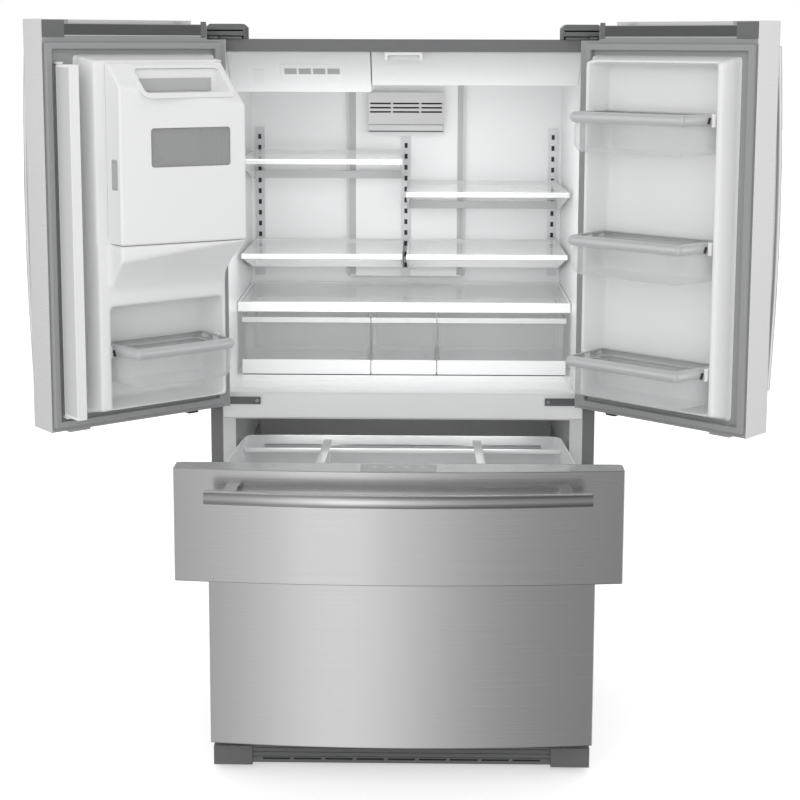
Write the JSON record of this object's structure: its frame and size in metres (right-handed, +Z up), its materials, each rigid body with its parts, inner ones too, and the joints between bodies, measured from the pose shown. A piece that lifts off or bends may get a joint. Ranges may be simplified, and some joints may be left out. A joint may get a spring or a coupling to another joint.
{
  "type": "french door refrigerator",
  "caption": "French door refrigerator with two hinged upper doors, a full-width middle drawer and a bottom freezer drawer, standing open.",
  "frame": {"origin": "on the floor, at the middle of the cabinet's footprint", "axes": "+X to the right seen from the front, +Y to the back, +Z up"},
  "size_m": [1.6632, 1.3872, 1.788],
  "materials": {
    "stainless": "brushed stainless steel, fine horizontal grain",
    "grey_paint": "satin dark grey paint",
    "grey_plastic": "satin dark grey moulding",
    "white_liner": "glossy white moulding",
    "grey_liner": "brushed grey metal lining",
    "flipper_grey": "satin light grey",
    "white_trim": "glossy white trim",
    "clear_plastic": "clear moulded plastic",
    "glass": "clear toughened glass",
    "gasket": "matt grey gasket",
    "galvanised": "plain zinc-plated steel",
    "black_plastic": "satin black moulding",
    "black_steel": "black enamel",
    "coil_metal": "bare aluminium",
    "foam": "rigid insulation foam",
    "lamp": "lamp lens"
  },
  "bodies": {
    "cabinet": {"cabinet_shell": "grey_paint", "rear_panel": "galvanised", "power_inlet": "black_plastic", "base_frame": "galvanised", "insulation_foam": "foam", "fresh_food_liner": "white_liner", "mid_liner": "grey_liner", "freezer_liner": "white_liner", "divider_rails": "white_liner", "base_grille": "grey_plastic", "compressor": "black_steel", "condenser": "coil_metal", "evaporator": "coil_metal", "drawer_rails": "galvanised", "ceiling_lights": "lamp", "door_hinges": "galvanised", "hinge_covers": "grey_paint", "air_tower": "white_liner", "vent_grille": "stainless", "shelf_ladders": "galvanised", "upper_shelves": "white_trim", "lower_shelves": "white_trim", "shelf_glass": "glass", "crisper_cover": "white_liner", "ceiling_housings": "white_liner"},
    "left_door": {"left_door_skin": "stainless", "left_door_frame": "grey_plastic", "left_door_liner": "white_liner", "left_door_gasket": "gasket", "left_door_handle": "stainless", "ice_box": "white_liner", "ice_bin": "clear_plastic", "dispenser_recess": "black_plastic", "left_door_bin": "clear_plastic", "flipper_pivots": "white_liner"},
    "right_door": {"right_door_skin": "stainless", "right_door_frame": "grey_plastic", "right_door_liner": "white_liner", "right_door_gasket": "gasket", "right_door_handle": "stainless", "right_door_bin_top": "clear_plastic", "right_door_bin_middle": "clear_plastic", "right_door_bin_bottom": "clear_plastic"},
    "flipper": {"flipper_mullion": "flipper_grey"},
    "ice_cover": {"ice_room_door": "white_liner"},
    "paddle": {"dispenser_paddle": "black_plastic"},
    "mid_drawer": {"mid_drawer_front": "stainless", "mid_drawer_tub": "white_liner", "mid_drawer_dividers": "white_trim", "mid_drawer_handle": "stainless"},
    "mid_slide_members": {"mid_slides": "galvanised"},
    "freezer_drawer": {"freezer_drawer_front": "stainless", "freezer_basket": "white_liner", "freezer_handle": "stainless"},
    "freezer_slide_members": {"freezer_slides": "galvanised"},
    "left_crisper": {"crisper_left": "clear_plastic"},
    "centre_crisper": {"crisper_centre": "clear_plastic"},
    "right_crisper": {"crisper_right": "clear_plastic"},
    "condenser_rotor": {"condenser_fan": "black_plastic"},
    "evaporator_rotor": {"evaporator_fan": "black_plastic"}
  },
  "joints": [
    {"name": "left_door_hinge", "type": "hinge", "parent": "cabinet", "child": "left_door", "pos_m": [-0.4344, -0.394, 1.3], "axis": [0, 0, -1], "range_deg": [-141, 1]},
    {"name": "right_door_hinge", "type": "hinge", "parent": "cabinet", "child": "right_door", "pos_m": [0.4344, -0.394, 1.3], "axis": [0, 0, 1], "range_deg": [-138.5, 3.5]},
    {"name": "flipper_fold", "type": "hinge", "parent": "left_door", "child": "flipper", "pos_m": [-0.71542, -0.68719, 1.3], "axis": [0, 0, 1], "range_deg": [-90, 0]},
    {"name": "ice_cover_hinge", "type": "hinge", "parent": "left_door", "child": "ice_cover", "pos_m": [-0.4037, -0.50167, 1.45], "axis": [0, 0, 1], "range_deg": [0, 90]},
    {"name": "paddle_press", "type": "hinge", "parent": "left_door", "child": "paddle", "pos_m": [-0.61037, -0.52929, 1.38862], "axis": [-0.7771, -0.6293, 0], "range_deg": [0, 6]},
    {"name": "mid_drawer_slide", "type": "slide", "parent": "cabinet", "child": "mid_drawer", "axis": [0, -1, 0], "range_m": [-0.511, 0.009]},
    {"name": "mid_slide_travel", "type": "slide", "parent": "cabinet", "child": "mid_slide_members", "axis": [0, -1, 0], "range_m": [-0.2555, 0.0045]},
    {"name": "freezer_drawer_slide", "type": "slide", "parent": "cabinet", "child": "freezer_drawer", "axis": [0, -1, 0], "range_m": [0, 0.45]},
    {"name": "freezer_slide_travel", "type": "slide", "parent": "cabinet", "child": "freezer_slide_members", "axis": [0, -1, 0], "range_m": [0, 0.225]},
    {"name": "left_crisper_slide", "type": "slide", "parent": "cabinet", "child": "left_crisper", "axis": [0, -1, 0], "range_m": [0, 0.24]},
    {"name": "centre_crisper_slide", "type": "slide", "parent": "cabinet", "child": "centre_crisper", "axis": [0, -1, 0], "range_m": [0, 0.24]},
    {"name": "right_crisper_slide", "type": "slide", "parent": "cabinet", "child": "right_crisper", "axis": [0, -1, 0], "range_m": [0, 0.24]},
    {"name": "condenser_fan_spin", "type": "hinge", "parent": "cabinet", "child": "condenser_rotor", "pos_m": [-0.06, 0.225, 0.153], "axis": [0, 1, 0], "continuous": true},
    {"name": "evaporator_fan_spin", "type": "hinge", "parent": "cabinet", "child": "evaporator_rotor", "pos_m": [0, 0.198, 0.558], "axis": [0, 1, 0], "continuous": true}
  ],
  "couplings": [
    {"joint": "mid_slide_travel", "follows": "mid_drawer_slide", "ratio": 0.5},
    {"joint": "freezer_slide_travel", "follows": "freezer_drawer_slide", "ratio": 0.5}
  ]
}
